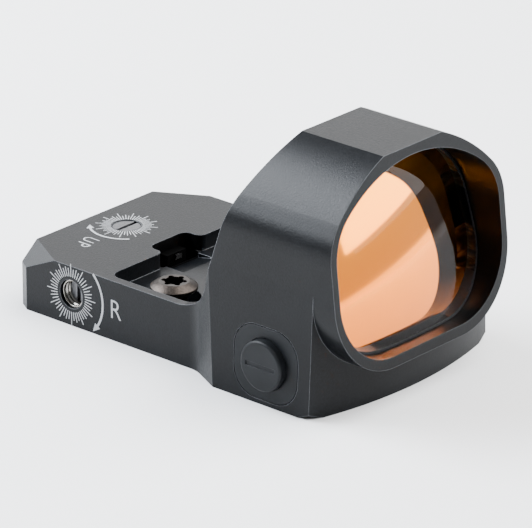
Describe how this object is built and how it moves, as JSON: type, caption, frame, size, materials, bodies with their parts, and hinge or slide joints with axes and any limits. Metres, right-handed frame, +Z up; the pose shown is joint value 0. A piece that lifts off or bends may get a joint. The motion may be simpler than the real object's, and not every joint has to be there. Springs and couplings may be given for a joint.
{
  "type": "reflex red dot sight",
  "caption": "Compact open reflex sight with a coated tilted lens in a hood, a low deck with slotted elevation and windage dials, side buttons and a bottom battery cap.",
  "frame": {"origin": "middle of the bounding box on the flat underside", "axes": "+Z up from the mounting face, +Y towards the target, +X to the user's right"},
  "size_m": [0.0306, 0.0476, 0.0268],
  "materials": {
    "housing_metal": "matte dark grey hard anodised, bead blasted",
    "plate_metal": "matte dark grey anodised",
    "seal_rubber": "matte black",
    "steel": "satin",
    "coated_glass": "orange reflective coating",
    "clear_glass": "clear",
    "black_sealant": "satin black",
    "brass": "machined",
    "nickel": "bright nickel plate",
    "black_steel": "black oxide",
    "black_plastic": "matte black",
    "circuit_laminate": "green solder mask",
    "emitter": "clear resin over a die",
    "ceramic_body": "matte",
    "contact_metal": "gold flash",
    "battery_steel": "satin nickel plate",
    "pad_rubber": "matte dark grey",
    "button_rubber": "matte dark grey",
    "lead_insulation": "red",
    "laser_mark": "white laser mark",
    "screw_steel": "bright stainless"
  },
  "bodies": {
    "sight": {"housing": "housing_metal", "base_plate": "plate_metal", "base_plate_gasket": "seal_rubber", "base_plate_screws": "steel", "lens_front_element": "coated_glass", "lens_rear_element": "clear_glass", "lens_seal": "black_sealant", "elevation_retainer": "brass", "windage_bushing": "nickel", "circuit_board": "circuit_laminate", "controller_chip": "black_plastic", "motion_sensor": "steel", "capacitors": "ceramic_body", "battery_contact_negative": "contact_metal", "battery_contact_positive": "contact_metal", "button_pad_left": "pad_rubber", "button_pad_right": "pad_rubber", "switch_board_left": "circuit_laminate", "switch_board_right": "circuit_laminate", "dome_switch_left": "steel", "dome_switch_right": "steel", "switch_leads": "lead_insulation", "mounting_screws": "screw_steel"},
    "elevation_screw": {"elevation_screw": "black_steel", "elevation_oring": "seal_rubber"},
    "elevation_slide": {"elevation_slide": "brass"},
    "emitter_carriage": {"led_carriage": "black_plastic", "led_holder": "circuit_laminate", "led_chip": "emitter"},
    "windage_screw": {"windage_screw": "black_steel", "windage_oring": "seal_rubber", "windage_retainer": "steel"},
    "windage_nut": {"windage_nut": "brass"},
    "battery_set": {"battery": "battery_steel", "battery_cap_oring": "seal_rubber"},
    "battery_cap": {"battery_cap": "plate_metal"},
    "button_left": {"button_left": "button_rubber"},
    "button_right": {"button_right": "button_rubber"}
  },
  "joints": [
    {"name": "elevation_turn", "type": "hinge", "parent": "sight", "child": "elevation_screw", "pos_m": [0, -0.01912, 0.006], "axis": [0, 0, 1], "range_deg": [-540, 540]},
    {"name": "elevation_lift", "type": "slide", "parent": "sight", "child": "elevation_slide", "axis": [0, 0, 1], "range_m": [-0.00052, 0.00052]},
    {"name": "windage_turn", "type": "hinge", "parent": "sight", "child": "windage_screw", "pos_m": [0.0105, -0.01568, 0.00365], "axis": [1, 0, 0], "range_deg": [-540, 540]},
    {"name": "windage_nut_shift", "type": "slide", "parent": "sight", "child": "windage_nut", "axis": [1, 0, 0], "range_m": [-0.00053, 0.00053]},
    {"name": "carriage_shift", "type": "slide", "parent": "elevation_slide", "child": "emitter_carriage", "axis": [1, 0, 0], "range_m": [-0.00052, 0.00052]},
    {"name": "battery_drop", "type": "slide", "parent": "sight", "child": "battery_set", "axis": [0, 0, -1], "range_m": [0, 0.0015]},
    {"name": "battery_cap_turn", "type": "hinge", "parent": "battery_set", "child": "battery_cap", "pos_m": [0, 0.01148, 0.001], "axis": [0, 0, -1], "range_deg": [0, 720]},
    {"name": "button_left_press", "type": "slide", "parent": "sight", "child": "button_left", "axis": [1, 0, 0], "range_m": [0, 0.00035], "stiffness_N_per_m": 300},
    {"name": "button_right_press", "type": "slide", "parent": "sight", "child": "button_right", "axis": [-1, 0, 0], "range_m": [0, 0.00035], "stiffness_N_per_m": 300}
  ],
  "couplings": [
    {"joint": "elevation_turn", "follows": "elevation_lift", "rad_per_m": -17950},
    {"joint": "windage_turn", "follows": "carriage_shift", "rad_per_m": -17950},
    {"joint": "windage_nut_shift", "follows": "carriage_shift", "ratio": 1},
    {"joint": "battery_cap_turn", "follows": "battery_drop", "rad_per_m": 8377}
  ]
}
